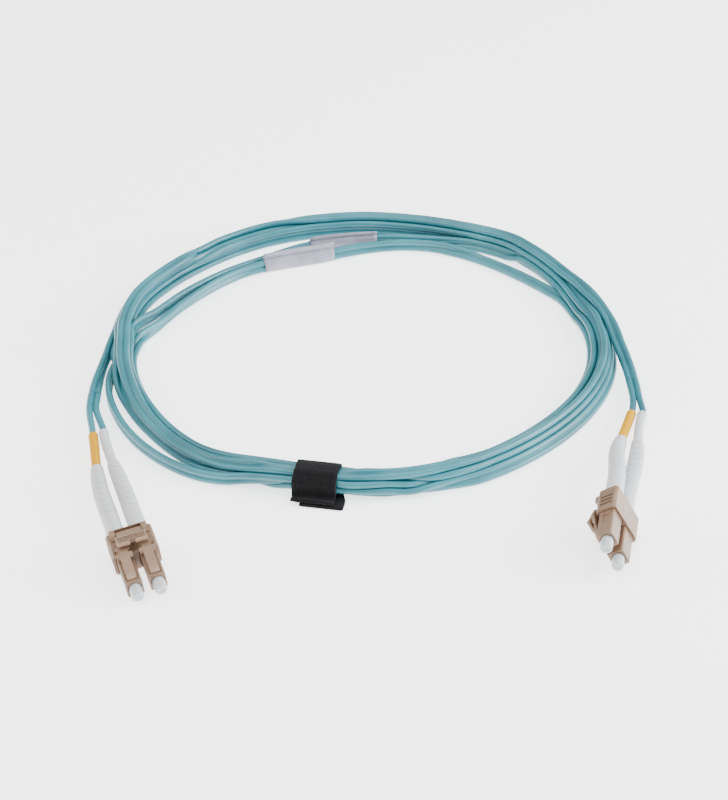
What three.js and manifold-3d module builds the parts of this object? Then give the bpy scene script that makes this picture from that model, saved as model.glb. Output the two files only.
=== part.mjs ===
// Duplex LC fiber optic patch cord, coiled and tied.
// Units are millimetres, +Z is up, and the cord lies on the plane z = 0.
//
// Connector frame, used for both ends: y = 0 is the front face of the two plug
// housings, -Y is the mating direction, +Y runs back along the cord, +Z is the
// latch side, and the two plugs sit at x = -PITCH/2 and x = +PITCH/2.

import * as THREE from 'three';
import { mergeVertices } from 'three/addons/utils/BufferGeometryUtils.js';
import Module from 'manifold-3d';

const wasm = await Module();
wasm.setup();

// ---------------------------------------------------------------- dimensions
const PITCH = 6.25;            // plug to plug spacing of a duplex LC
const SNOUT = 2.25;            // half width of the housing snout (4.5 square)
const BODY = 2.3;              // half width of the housing behind the snout
const SNOUT_END = 10.6;
const HOUSING_END = 19.5;
const FRONT_BORE_R = 1.85;     // opening around the ferrule
const FRONT_BORE_D = 2.4;
const STOP_BORE_R = 0.95;      // bore through the flange stop
const STOP_END = 3.2;
const CHAMBER_R = 1.8;         // spring chamber

const FERRULE_R = 0.625;       // 1.25 mm ceramic ferrule
const FERRULE_TIP = -2.3;
const FLANGE_Y0 = 3.35;
const FLANGE_Y1 = 6.0;
const FLANGE_R = 1.5;
const SPRING_Y0 = 6.2;
const SPRING_Y1 = 10.9;
const SPRING_R = 1.18;         // mean coil radius
const SPRING_WIRE = 0.19;      // wire radius
const SPRING_TURNS = 5;
const FERRULE_TRAVEL = 1.5;

const REAR_Y0 = 11.2;          // rear body, inside the housing
const REAR_COLLAR0 = 19.7;
const REAR_COLLAR1 = 20.9;
const REAR_END = 26.6;
const CRIMP_Y0 = 21.2;
const CRIMP_Y1 = 27.4;
const FIBER_R = 0.45;          // 0.9 mm buffered fiber
const FIBER_Y0 = 6.15;
const FIBER_Y1 = 24.6;

const CAP_R = 1.7;             // dust cap
const CAP_TIP = -3.9;
const CAP_IN = 1.9;            // how far its skirt reaches into the snout
const CAP_BORE_R = 0.78;
const CAP_BORE_END = -2.75;

const BOOT_Y0 = 21.25;
const BOOT_Y1 = 55.2;
const BOOT_R0 = 2.5;
const BOOT_R1 = 1.9;
const SLEEVE_Y0 = 55.5;        // coloured marker sleeve
const SLEEVE_Y1 = 71.3;
const SLEEVE_R = 1.4;
const LEG_R = 1.0;             // one 2.0 mm strand of the cord
const LEG_Y0 = 27.7;
const LEG_Y1 = 79.2;

const LATCH_AXIS_Y = 1.8;      // latch root
const LATCH_AXIS_Z = 1.9;
const LATCH_TAIL_Y = 12.3;
const CLIP_W = 6.35;           // half width of the duplex clip
const CLIP_H = 2.95;           // half height
const CLIP_Y0 = 11.0;
const CLIP_Y1 = 21.0;
const TRIGGER_AXIS_Y = 19.4;
const TRIGGER_AXIS_Z = 3.55;
const TRIGGER_W = 4.2;         // half width of the trigger

// Coil
const COIL_C = [0.5, 2.0];
const COIL_IN = 67.5;
const COIL_OUT = 77.5;
const COIL_H = 8.8;
const CORD_R = 1.45;           // plain round stand-in for the 2.0 x 4.1 mm zip cord
const TIE_ANGLE = -100.2;      // degrees around the coil
const TIE_W = 12.4;            // strap width
const TIE_T = 1.0;             // strap thickness

// Where the whole cord lies relative to the reference point, which is the
// middle of the foot print of everything but the cord itself.
const SHIFT = [-2.27, 26.0];

// Connector poses: roll about the connector's axis, then pitch, then yaw about
// +Z. bend is how far the boots and legs have swung aside (x, z) at BEND_Y1.
const CONN_A = { x: -55.88, y: -115.6, z: 3.73, roll: -8.0, pitch: 0, yaw: 17.5, bend: [2.1, -0.2, 0] };
const CONN_B = { x: 66.0, y: -106.0, z: 7.856, roll: -122.0, pitch: -3.2, yaw: -10.3, bend: [-1.3, -0.9, -58] };
const BEND_Y0 = 40.0;
const BEND_Y1 = 73.4;

// ------------------------------------------------------------------ helpers
const rad = (d) => (d * Math.PI) / 180;

// Closed, outward, indexed geometry with only positions shared
function clean(geo) {
  let g = geo.index ? geo.toNonIndexed() : geo;
  g = g.clone();
  for (const k of Object.keys(g.attributes)) if (k !== 'position') g.deleteAttribute(k);
  g.clearGroups();
  g = mergeVertices(g, 1e-4);
  const p = g.attributes.position;
  const idx = g.index.array;
  const out = [];
  let vol = 0;
  for (let i = 0; i < idx.length; i += 3) {
    const [a, b, c] = [idx[i], idx[i + 1], idx[i + 2]];
    if (a === b || b === c || a === c) continue;
    out.push(a, b, c);
    const A = new THREE.Vector3().fromBufferAttribute(p, a);
    const B = new THREE.Vector3().fromBufferAttribute(p, b);
    const C = new THREE.Vector3().fromBufferAttribute(p, c);
    vol += A.dot(B.cross(C)) / 6;
  }
  if (vol < 0) for (let i = 0; i < out.length; i += 3) [out[i], out[i + 1]] = [out[i + 1], out[i]];
  g.setIndex(out);
  return g;
}

function solid(geo) {
  const g = clean(geo);
  return new wasm.Manifold(new wasm.Mesh({
    numProp: 3,
    vertProperties: new Float32Array(g.attributes.position.array),
    triVerts: new Uint32Array(g.index.array),
  }));
}

function geometry(man) {
  const m = man.getMesh();
  const g = new THREE.BufferGeometry();
  g.setAttribute('position', new THREE.BufferAttribute(new Float32Array(m.vertProperties), 3));
  g.setIndex(new THREE.BufferAttribute(new Uint32Array(m.triVerts), 1));
  g.computeVertexNormals();
  return g;
}

// Box between two corners
function box(x0, y0, z0, x1, y1, z1) {
  const g = new THREE.BoxGeometry(x1 - x0, y1 - y0, z1 - z0);
  g.translate((x0 + x1) / 2, (y0 + y1) / 2, (z0 + z1) / 2);
  return g;
}

// Solid of revolution about the connector axis (local Y); profile of [r, y]
function lathe(profile, seg) {
  return new THREE.LatheGeometry(profile.map(([r, y]) => new THREE.Vector2(r, y)), seg);
}

// Ring-shaped solid from inner and outer [r, y] lists, both running towards +y
function tube(outer, inner, seg) {
  const p = [...outer, ...inner.slice().reverse(), outer[0]];
  return lathe(p, seg);
}

// Outline in the (y, z) plane extruded across x from x0 to x1
function sideProfile(points, x0, x1) {
  const s = new THREE.Shape(points.map(([y, z]) => new THREE.Vector2(y, z)));
  const g = new THREE.ExtrudeGeometry(s, { depth: x1 - x0, bevelEnabled: false, steps: 1 });
  // shape x -> +Y, shape y -> +Z, depth -> +X
  g.applyMatrix4(new THREE.Matrix4().set(0, 0, 1, x0, 1, 0, 0, 0, 0, 1, 0, 0, 0, 0, 0, 1));
  return g;
}

// Chamfered square bar along y, centred on the axis
function bar(h, v, c, y0, y1) {
  const s = new THREE.Shape([
    new THREE.Vector2(-h + c, -v), new THREE.Vector2(h - c, -v), new THREE.Vector2(h, -v + c),
    new THREE.Vector2(h, v - c), new THREE.Vector2(h - c, v), new THREE.Vector2(-h + c, v),
    new THREE.Vector2(-h, v - c), new THREE.Vector2(-h, -v + c),
  ]);
  const g = new THREE.ExtrudeGeometry(s, { depth: y1 - y0, bevelEnabled: false, steps: 1 });
  // shape (x, y) -> (X, Z), depth -> +Y
  g.applyMatrix4(new THREE.Matrix4().set(1, 0, 0, 0, 0, 0, 1, y0, 0, 1, 0, 0, 0, 0, 0, 1));
  return g;
}

// Tube of n sides along a list of points
function alongPath(points, r, n, steps, holeR = 0) {
  const curve = new THREE.CatmullRomCurve3(points.map((p) => new THREE.Vector3(...p)), false, 'centripetal');
  const ring = (rr) => Array.from({ length: n }, (_, i) => {
    const a = (2 * Math.PI * (i + 0.5)) / n;
    return new THREE.Vector2(rr * Math.cos(a), rr * Math.sin(a));
  });
  const s = new THREE.Shape(ring(r));
  if (holeR > 0) s.holes.push(new THREE.Path(ring(holeR)));
  return new THREE.ExtrudeGeometry(s, { steps, bevelEnabled: false, extrudePath: curve });
}

const smooth = (t) => { const u = Math.min(1, Math.max(0, t)); return u * u * (3 - 2 * u); };

// Distance of a strand's centre from the middle plane of the connector: the two
// strands run straight out of the plugs, then close up until they join as zip cord
function strandX(y) {
  if (y <= 73.2) return 1.55 + (PITCH / 2 - 1.55) * (1 - smooth((y - 40) / 32));
  return 1.55 - 0.35 * smooth((y - 73.2) / 6);
}

// Share of the full sideways bend at a place along the connector
const bendAt = (y) => Math.max(0, (Math.min(y, 75) - BEND_Y0) / (BEND_Y1 - BEND_Y0)) ** 2;
// The pair of strands also turns about its own middle until it lies flat; bend[2] is the whole turn
const twistAt = (y, bend) => rad(bend[2]) * smooth((y - 30) / 30);

// Bends a piece that was built straight on its own axis onto its strand's course
function follow(geo, side, bend) {
  const p = geo.attributes.position;
  for (let i = 0; i < p.count; i++) {
    const y = p.getY(i);
    const t = twistAt(y, bend);
    p.setX(i, p.getX(i) + side * strandX(y) * Math.cos(t) + bend[0] * bendAt(y));
    p.setZ(i, p.getZ(i) - side * strandX(y) * Math.sin(t) + bend[1] * bendAt(y));
  }
  return geo;
}

const root = new THREE.Group();
const SHIFTED = new THREE.Group();
SHIFTED.position.set(SHIFT[0], SHIFT[1], 0);
root.add(SHIFTED);

function add(parent, name, geo, color, roughness = 0.5, metalness = 0) {
  const mesh = new THREE.Mesh(geo, new THREE.MeshStandardMaterial({ color, roughness, metalness }));
  mesh.name = name;
  mesh.geometry.computeVertexNormals();
  parent.add(mesh);
  return mesh;
}

const BEIGE = 0xc4ab97;
const WHITE = 0xeceae6;
const AQUA = 0x63aeb4;
const YELLOW = 0xf6bc2e;
const METAL = 0xb9bcc0;

// ------------------------------------------------------------- plug pieces
// Housing: square snout, slightly larger rear, ferrule opening, flange stop,
// spring chamber open at the back, and a pocket for the latch root
function plugHousing() {
  let m = solid(bar(SNOUT, SNOUT, 0.3, 0, SNOUT_END));
  m = m.add(solid(bar(BODY, BODY, 0.35, SNOUT_END - 0.2, HOUSING_END)));
  m = m.subtract(solid(lathe([[0, -1], [FRONT_BORE_R, -1], [FRONT_BORE_R, FRONT_BORE_D], [0, FRONT_BORE_D]], 16)));
  m = m.subtract(solid(lathe([[0, 1], [STOP_BORE_R, 1], [STOP_BORE_R, STOP_END + 0.5], [0, STOP_END + 0.5]], 12)));
  m = m.subtract(solid(lathe([[0, STOP_END], [CHAMBER_R, STOP_END], [CHAMBER_R, HOUSING_END + 1], [0, HOUSING_END + 1]], 14)));
  m = m.subtract(solid(box(-1.5, 0.95, 1.95, 1.5, 2.7, 3)));
  // shallow side recesses behind the snout, where the rear body snaps in
  m = m.subtract(solid(box(-3, 6.2, -0.9, -SNOUT + 0.2, 9.6, 0.9)));
  m = m.subtract(solid(box(SNOUT - 0.2, 6.2, -0.9, 3, 9.6, 0.9)));
  return m;
}

// Latch lever: foot in the housing's pocket, arm rising to the rear, locking
// lugs at both sides, and a wider thumb tail
function latchLever() {
  const arm = sideProfile([
    [1.15, 2.15], [1.45, 2.02], [2.3, 2.02], [2.55, 2.3], [3.3, 2.62], [8.0, 3.36],
    [LATCH_TAIL_Y, 4.12], [LATCH_TAIL_Y, 4.72], [LATCH_TAIL_Y - 0.5, 4.85],
    [8.0, 4.08], [3.0, 3.3], [1.9, 2.95], [1.2, 2.55],
  ], -1.3, 1.3);
  let m = solid(arm);
  m = m.add(solid(sideProfile([[8.5, 3.46], [10.1, 3.72], [10.1, 4.42], [9.0, 4.22], [8.5, 3.8]], -2.15, 2.15)));
  m = m.add(solid(sideProfile([[11.2, 3.94], [LATCH_TAIL_Y, 4.12], [LATCH_TAIL_Y, 4.72], [LATCH_TAIL_Y - 0.5, 4.82], [11.2, 4.7]], -1.85, 1.85)));
  return m;
}

function spring() {
  class Helix extends THREE.Curve {
    getPoint(t, target = new THREE.Vector3()) {
      const a = 2 * Math.PI * SPRING_TURNS * t;
      const y0 = SPRING_Y0 + SPRING_WIRE + 0.02;
      const y1 = SPRING_Y1 - SPRING_WIRE - 0.02;
      return target.set(SPRING_R * Math.cos(a), y0 + (y1 - y0) * t, SPRING_R * Math.sin(a));
    }
  }
  const s = new THREE.Shape(Array.from({ length: 5 }, (_, i) => {
    const a = (2 * Math.PI * i) / 5;
    return new THREE.Vector2(SPRING_WIRE * Math.cos(a), SPRING_WIRE * Math.sin(a));
  }));
  return new THREE.ExtrudeGeometry(s, { steps: SPRING_TURNS * 9, bevelEnabled: false, extrudePath: new Helix() });
}

function connector(tag, pose, sleeveColors) {
  const g = new THREE.Group();
  g.rotation.set(rad(pose.pitch), rad(pose.roll), rad(pose.yaw), 'ZXY');
  g.position.set(pose.x, pose.y, pose.z);
  SHIFTED.add(g);

  for (const [n, side] of [[1, -1], [2, 1]]) {
    const id = `${tag}${n}`;
    const px = (side * PITCH) / 2;
    const at = (geo) => { geo.translate(px, 0, 0); return geo; };

    add(g, `${id}_plug_housing`, at(geometry(plugHousing())), BEIGE, 0.42);
    add(g, `${id}_latch_lever`, at(geometry(latchLever())), BEIGE, 0.42);

    add(g, `${id}_ferrule`, at(clean(lathe([
      [0, FERRULE_TIP], [0.45, FERRULE_TIP], [FERRULE_R, FERRULE_TIP + 0.3], [FERRULE_R, 3.25], [0, 3.25],
    ], 12))), 0xf4f4f0, 0.25);
    add(g, `${id}_ferrule_flange`, at(clean(lathe([
      [0, FLANGE_Y0], [1.0, FLANGE_Y0], [FLANGE_R, FLANGE_Y0 + 0.4], [FLANGE_R, FLANGE_Y1 - 1.1],
      [0.8, FLANGE_Y1 - 1.0], [0.8, FLANGE_Y1], [0, FLANGE_Y1],
    ], 6))), METAL, 0.3, 0.9);
    add(g, `${id}_spring`, at(clean(spring())), METAL, 0.3, 0.9);
    add(g, `${id}_buffered_fiber`, at(clean(lathe([
      [0, FIBER_Y0], [FIBER_R, FIBER_Y0], [FIBER_R, FIBER_Y1], [0, FIBER_Y1],
    ], 8))), 0xe9e4d2, 0.5);
    add(g, `${id}_rear_body`, at(clean(tube(
      [[1.55, REAR_Y0], [1.55, REAR_COLLAR0], [2.15, REAR_COLLAR0], [2.15, REAR_COLLAR1], [1.25, REAR_COLLAR1], [1.25, REAR_END]],
      [[0.65, REAR_Y0], [0.65, REAR_END]], 12))), METAL, 0.35, 0.9);
    add(g, `${id}_crimp_sleeve`, at(clean(tube(
      [[1.78, CRIMP_Y0], [1.78, CRIMP_Y1]], [[1.42, CRIMP_Y0], [1.42, CRIMP_Y1]], 12))), METAL, 0.3, 0.9);

    add(g, `${id}_boot`, clean(follow(tube(
      [[BOOT_R0 - 0.15, BOOT_Y0], [BOOT_R0, BOOT_Y0 + 0.3], [BOOT_R0, 25], [2.48, 31], [2.44, 37], [2.36, 42], [2.26, 47], [2.1, 51], [BOOT_R1 - 0.1, BOOT_Y1]],
      [[2.02, BOOT_Y0], [2.02, 28.0], [1.2, 28.4], [1.2, 34], [1.2, 39], [1.2, 43], [1.2, 47], [1.2, 51], [1.2, BOOT_Y1]], 12), side, pose.bend)), WHITE, 0.55);
    add(g, `${id}_marker_sleeve`, clean(follow(tube(
      [[SLEEVE_R, SLEEVE_Y0], [SLEEVE_R, 59], [SLEEVE_R, 63], [SLEEVE_R, 68], [SLEEVE_R, SLEEVE_Y1]],
      [[1.18, SLEEVE_Y0], [1.18, 59], [1.18, 63], [1.18, 68], [1.18, SLEEVE_Y1]], 12), side, pose.bend)), sleeveColors[n - 1], 0.45);
    const legY = [LEG_Y0, 34, 39, 43, 47, 51, 55, 59, 63, 68, 73, 76, LEG_Y1];
    add(g, `${id}_cord_leg`, clean(follow(lathe(
      [[0, LEG_Y0], ...legY.map((y) => [LEG_R, y]), [0, LEG_Y1]], 8), side, pose.bend)), AQUA, 0.45);

    add(g, `${id}_dust_cap`, at(clean(lathe([
      [0, CAP_TIP], [1.15, CAP_TIP], [1.55, CAP_TIP + 0.35], [1.62, CAP_TIP + 1.0], [CAP_R, -2.4], [CAP_R, -0.6],
      [CAP_R - 0.05, CAP_IN - 0.2], [CAP_R - 0.2, CAP_IN], [CAP_BORE_R, CAP_IN], [CAP_BORE_R, CAP_BORE_END], [0, CAP_BORE_END],
    ], 12))), WHITE, 0.35);
  }

  // Duplex clip: shell around both housings, open front and back, with notches
  // for the latch tails and a raised bearing for the trigger
  let clip = solid(bar(CLIP_W, CLIP_H, 0.6, CLIP_Y0, CLIP_Y1));
  clip = clip.add(solid(sideProfile([[17.4, 2.7], [20.95, 2.7], [20.95, 4.0], [20.6, 4.35], [18.3, 4.35], [17.4, 3.4]], -5.2, 5.2)));
  for (const s of [-1, 1]) {
    const x = (s * PITCH) / 2;
    clip = clip.subtract(solid(bar(BODY + 0.15, BODY + 0.15, 0.3, CLIP_Y0 - 1, CLIP_Y1 + 1).translate(x, 0, 0)));
    clip = clip.subtract(solid(box(x - 2.1, CLIP_Y0 - 1, 2, x + 2.1, 13.4, 4)));
  }
  clip = clip.subtract(solid(box(-3.6, 16, 2.9, 3.6, 20.4, 6)));
  // side grips: three shallow upright grooves on each side
  for (const y of [13.2, 14.9, 16.6]) {
    clip = clip.subtract(solid(box(-7, y, -1.7, -CLIP_W + 0.28, y + 0.8, 1.7)));
    clip = clip.subtract(solid(box(CLIP_W - 0.28, y, -1.7, 7, y + 0.8, 1.7)));
  }
  add(g, `${tag}_duplex_clip`, geometry(clip), BEIGE, 0.42);

  // Trigger: hinged at the back of the clip, its tip reaches over both latch tails
  const foot = [];
  for (let i = 0; i <= 6; i++) {
    const a = rad(100 - (i * 230) / 6);
    foot.push([TRIGGER_AXIS_Y + 0.5 * Math.cos(a), TRIGGER_AXIS_Z + 0.5 * Math.sin(a)]);
  }
  let trig = solid(sideProfile([
    ...foot, [18.2, 3.78], [12.6, 5.35], [11.3, 5.68], [10.85, 5.8], [10.75, 6.4], [11.2, 6.78], [12.0, 6.5], [12.6, 6.25], [18.3, 4.55],
  ].reverse(), -3.4, 3.4));
  trig = trig.add(solid(sideProfile([
    [16.4, 4.3], [12.6, 5.35], [11.3, 5.68], [10.85, 5.8], [10.75, 6.4], [11.2, 6.78], [12.0, 6.5], [12.6, 6.25], [16.4, 5.1],
  ].reverse(), -TRIGGER_W, TRIGGER_W)));
  for (const y of [12.1, 13.3, 14.5]) {
    const z = 6.42 - (y - 12.1) * 0.3;
    trig = trig.add(solid(sideProfile([[y, z - 0.4], [y + 0.7, z - 0.6], [y + 0.6, z + 0.06], [y + 0.15, z + 0.24]], -3.5, 3.5)));
  }
  trig = trig.subtract(solid(box(-0.75, 9, 5, 0.75, 11.9, 8)));
  add(g, `${tag}_trigger`, geometry(trig), BEIGE, 0.42);

  g.updateMatrixWorld(true);
  return g;
}

const connA = connector('a', CONN_A, [YELLOW, WHITE]);
const connB = connector('b', CONN_B, [WHITE, YELLOW]);

// -------------------------------------------------------------------- coil
// Outer shape of the wound turns, pinched where the tie goes round it
const midR = (COIL_IN + COIL_OUT) / 2;
const c = 1.6;
const ringGeo = new THREE.LatheGeometry([
  [COIL_IN + c, 0], [COIL_OUT - c, 0], [COIL_OUT, c], [COIL_OUT, COIL_H - c], [COIL_OUT - c, COIL_H],
  [COIL_IN + c, COIL_H], [COIL_IN, COIL_H - c], [COIL_IN, c], [COIL_IN + c, 0],
].map(([r, z]) => new THREE.Vector2(r, z)), 60);
ringGeo.rotateX(Math.PI / 2);
ringGeo.translate(0, 0, 0);
let ring = solid(ringGeo);
// the tie's own frame: x along the strap's width (around the coil), y outward
const tieM = new THREE.Matrix4().makeRotationZ(rad(TIE_ANGLE - 90));
const gap = 0.35;
const waist = { in: midR - 3.2, out: midR + 3.2, bottom: TIE_T + gap, top: 7.0 };
const cutter = solid(box(-TIE_W / 2 - 0.5, COIL_IN - 3, -1, TIE_W / 2 + 0.5, COIL_OUT + 3, COIL_H + 1))
  .subtract(solid(box(-TIE_W, waist.in, waist.bottom, TIE_W, waist.out, waist.top)));
ring = ring.subtract(cutter.transform(tieM.elements));
const coilGroup = new THREE.Group();
coilGroup.position.set(COIL_C[0], COIL_C[1], 0);
SHIFTED.add(coilGroup);
add(coilGroup, 'coil_turns', geometry(ring), AQUA, 0.45);

// Hook-and-loop tie: closed strap round the waist, with its free end lying
// outward at the foot of the coil
let tie = solid(box(-TIE_W / 2, waist.in - gap - TIE_T, 0, TIE_W / 2, waist.out + gap + TIE_T, waist.top + gap + TIE_T));
tie = tie.subtract(solid(box(-TIE_W, waist.in - gap, TIE_T, TIE_W, waist.out + gap, waist.top + gap)));
tie = tie.add(solid(box(-TIE_W / 2 + 0.8, waist.out + gap, 0, TIE_W / 2 - 0.8, waist.out + gap + TIE_T + 4.6, TIE_T)));
add(coilGroup, 'tie_strap', geometry(tie.transform(tieM.elements)), 0x1e1c20, 0.9);

// ------------------------------------------------------------- loose turns
// polar point about the coil's centre
const pol = (deg, r, z) => [r * Math.cos(rad(deg)), r * Math.sin(rad(deg)), z];
const LOOSE_1 = [[172, 65.6], [162, 64.4], [153, 62.4], [145, 60.8], [137, 59.4], [128, 58.2], [118, 57.2], [110, 56.6], [102, 56.5], [95, 57.9], [88, 60.2], [78, 63.0], [68, 64.8], [58, 65.6]];
const LOOSE_2 = [[150, 65.6], [144, 64.3], [137, 62.7], [128, 61.8], [120, 61.5], [112, 62.2], [104, 63.3], [97, 63.85], [90, 64.1], [82, 65.3]];
add(coilGroup, 'loose_turn_1', clean(alongPath(LOOSE_1.map(([a, r]) => pol(a, r, 2.6)), CORD_R, 8, 18)), AQUA, 0.45);
add(coilGroup, 'loose_turn_2', clean(alongPath(LOOSE_2.map(([a, r]) => pol(a, r, 2.7)), CORD_R, 8, 12)), AQUA, 0.45);

// Wrap labels round the loose turns, each a thin tube that follows its turn
const curveOf = (list, z) => new THREE.CatmullRomCurve3(list.map(([a, r]) => new THREE.Vector3(...pol(a, r, z))), false, 'centripetal');
function labelAt(list, z, midDeg, length) {
  const curve = curveOf(list, z);
  const pts = curve.getSpacedPoints(400);
  let best = 0;
  pts.forEach((p, i) => {
    const d = Math.abs(THREE.MathUtils.radToDeg(Math.atan2(p.y, p.x)) - midDeg);
    if (d < Math.abs(THREE.MathUtils.radToDeg(Math.atan2(pts[best].y, pts[best].x)) - midDeg)) best = i;
  });
  const half = Math.round((length / 2 / curve.getLength()) * 400);
  const take = [-1, -0.5, 0, 0.5, 1].map((k) => pts[best + Math.round(k * half)].toArray());
  return alongPath(take, 2.25, 10, 5, 1.8);
}
add(coilGroup, 'label_1', clean(labelAt(LOOSE_1, 2.6, 112, 22)), 0xd4cedd, 0.5);
add(coilGroup, 'label_2', clean(labelAt(LOOSE_2, 2.7, 96.4, 22)), 0xd4cedd, 0.5);

// ------------------------------------------------------------------- tails
// From the joined legs to the side of the coil
function tail(name, conn, bend, points) {
  const place = (y) => conn.localToWorld(new THREE.Vector3(bend[0] * bendAt(y), y, bend[1] * bendAt(y))).sub(new THREE.Vector3(SHIFT[0], SHIFT[1], 0));
  const start = place(LEG_Y1 + 0.35);
  const dir = place(LEG_Y1 + 5.35);
  add(SHIFTED, name, clean(alongPath([start.toArray(), dir.toArray(), ...points], CORD_R, 8, 8)), AQUA, 0.45);
}
tail('tail_a', connA, CONN_A.bend, [[-79.5, -25.0, 2.9], [-80.0, -16.0, 2.2], [-79.4, -4.0, 2.0]]);
tail('tail_b', connB, CONN_B.bend, [[81.3, -16.0, 3.4], [80.7, -7.0, 4.0], [79.9, 4.0, 4.6]]);

export default root;
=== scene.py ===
"""Duplex LC fiber optic patch cord: the looks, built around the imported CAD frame."""

import math

import bmesh
import bpy
import numpy as np
from mathutils import Matrix, Vector

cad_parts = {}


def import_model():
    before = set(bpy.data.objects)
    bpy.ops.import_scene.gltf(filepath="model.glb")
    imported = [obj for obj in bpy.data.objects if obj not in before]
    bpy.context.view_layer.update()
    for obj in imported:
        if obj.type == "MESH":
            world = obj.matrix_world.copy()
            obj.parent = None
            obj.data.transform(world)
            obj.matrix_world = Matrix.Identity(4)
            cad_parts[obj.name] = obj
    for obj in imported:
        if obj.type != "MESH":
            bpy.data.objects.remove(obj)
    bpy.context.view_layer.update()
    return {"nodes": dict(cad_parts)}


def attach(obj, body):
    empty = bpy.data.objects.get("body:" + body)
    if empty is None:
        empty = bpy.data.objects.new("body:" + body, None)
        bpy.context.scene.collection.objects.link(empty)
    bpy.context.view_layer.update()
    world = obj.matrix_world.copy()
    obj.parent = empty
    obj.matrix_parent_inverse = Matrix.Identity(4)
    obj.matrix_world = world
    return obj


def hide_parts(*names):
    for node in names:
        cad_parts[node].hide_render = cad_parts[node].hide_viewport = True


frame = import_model()


MM = 0.001

# ------------------------------------------------------------------ the frame's own numbers, in mm
SHIFT = np.array([-2.27, 26.0, 0.0])
COIL_C = np.array([0.5, 2.0, 0.0]) + SHIFT
PITCH = 6.25
CONN = {
    "a": dict(p=np.array([-55.88, -115.6, 3.73]) + SHIFT, roll=-8.0, pitch=0.0, yaw=17.5, bend=(2.1, -0.2, 0.0)),
    "b": dict(p=np.array([66.0, -106.0, 7.856]) + SHIFT, roll=-122.0, pitch=-3.2, yaw=-10.3, bend=(-1.3, -0.9, -58.0)),
}


def rot_z(a):
    a = math.radians(a)
    return np.array([[math.cos(a), -math.sin(a), 0], [math.sin(a), math.cos(a), 0], [0, 0, 1]])


def rot_x(a):
    a = math.radians(a)
    return np.array([[1, 0, 0], [0, math.cos(a), -math.sin(a)], [0, math.sin(a), math.cos(a)]])


def rot_y(a):
    a = math.radians(a)
    return np.array([[math.cos(a), 0, math.sin(a)], [0, 1, 0], [-math.sin(a), 0, math.cos(a)]])


for c_ in CONN.values():
    c_["R"] = rot_z(c_["yaw"]) @ rot_x(c_["pitch"]) @ rot_y(c_["roll"])


def world(tag, pts):
    """Connector-frame points to the row frame, both in mm."""
    c = CONN[tag]
    return np.asarray(pts, float) @ c["R"].T + c["p"]


def smooth01(t):
    t = np.clip(t, 0, 1)
    return t * t * (3 - 2 * t)


def strand_x(y):
    """Distance of a strand's centre from the connector's middle plane, as in the CAD."""
    y = np.asarray(y, float)
    near = 1.55 + (PITCH / 2 - 1.55) * (1 - smooth01((y - 40) / 32))
    return np.where(y <= 73.2, near, 1.55 - 0.35 * smooth01((y - 73.2) / 6))


def course(tag, side, y):
    """(x, z) of a strand's centre in the connector's frame: the pair bends sideways and turns until it lies flat."""
    y = np.asarray(y, float)
    b = (np.maximum(0, np.minimum(y, 75.0) - 40.0) / 33.4) ** 2
    bx, bz, turn = CONN[tag]["bend"]
    t = math.radians(turn) * smooth01((y - 30) / 30)
    return side * strand_x(y) * np.cos(t) + bx * b, bz * b - side * strand_x(y) * np.sin(t)


# ------------------------------------------------------------------ camera, light and floor
scene = bpy.context.scene
cam_data = bpy.data.cameras.new("cam")
cam = bpy.data.objects.new("cam", cam_data)
scene.collection.objects.link(cam)
cam.location = ((0.61 - 2.27) * MM, (-548.07 + 26.0) * MM, 353.45 * MM)
cam.rotation_euler = (math.radians(56.0), 0, 0)
cam_data.sensor_width = 36.0
cam_data.lens = 95.9
cam_data.clip_start = 0.01
cam_data.clip_end = 20
scene.camera = cam


def srgb(r, g, b):
    """0-255 display colour to linear."""
    def f(c):
        c /= 255.0
        return c / 12.92 if c <= 0.04045 else ((c + 0.055) / 1.055) ** 2.4
    return (f(r), f(g), f(b), 1.0)


def area(name, loc, aim, size, power, color=(1, 1, 1)):
    d = bpy.data.lights.new(name, "AREA")
    d.shape = "RECTANGLE"
    d.size, d.size_y = size
    d.energy = power
    d.color = color
    o = bpy.data.objects.new(name, d)
    o.location = loc
    o.rotation_euler = (Vector(aim) - Vector(loc)).to_track_quat("-Z", "Y").to_euler()
    scene.collection.objects.link(o)
    return o


area("key", (-0.35, -0.25, 0.75), (0, 0, 0), (0.7, 0.7), 4.5)
area("top", (0.1, 0.15, 0.9), (0, 0, 0), (1.0, 1.0), 6.2)
area("left", (-0.75, 0.0, 0.36), (0, 0, 0), (0.6, 0.6), 3.5)
area("right", (0.75, -0.02, 0.36), (0, 0, 0), (0.5, 0.5), 16.0, (0.88, 0.96, 1.0))
world_ = bpy.data.worlds.new("studio")
scene.world = world_
world_.use_nodes = True
bg = world_.node_tree.nodes["Background"]
bg.inputs[0].default_value = (1.0, 1.0, 1.0, 1)
bg.inputs[1].default_value = 0.72


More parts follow.
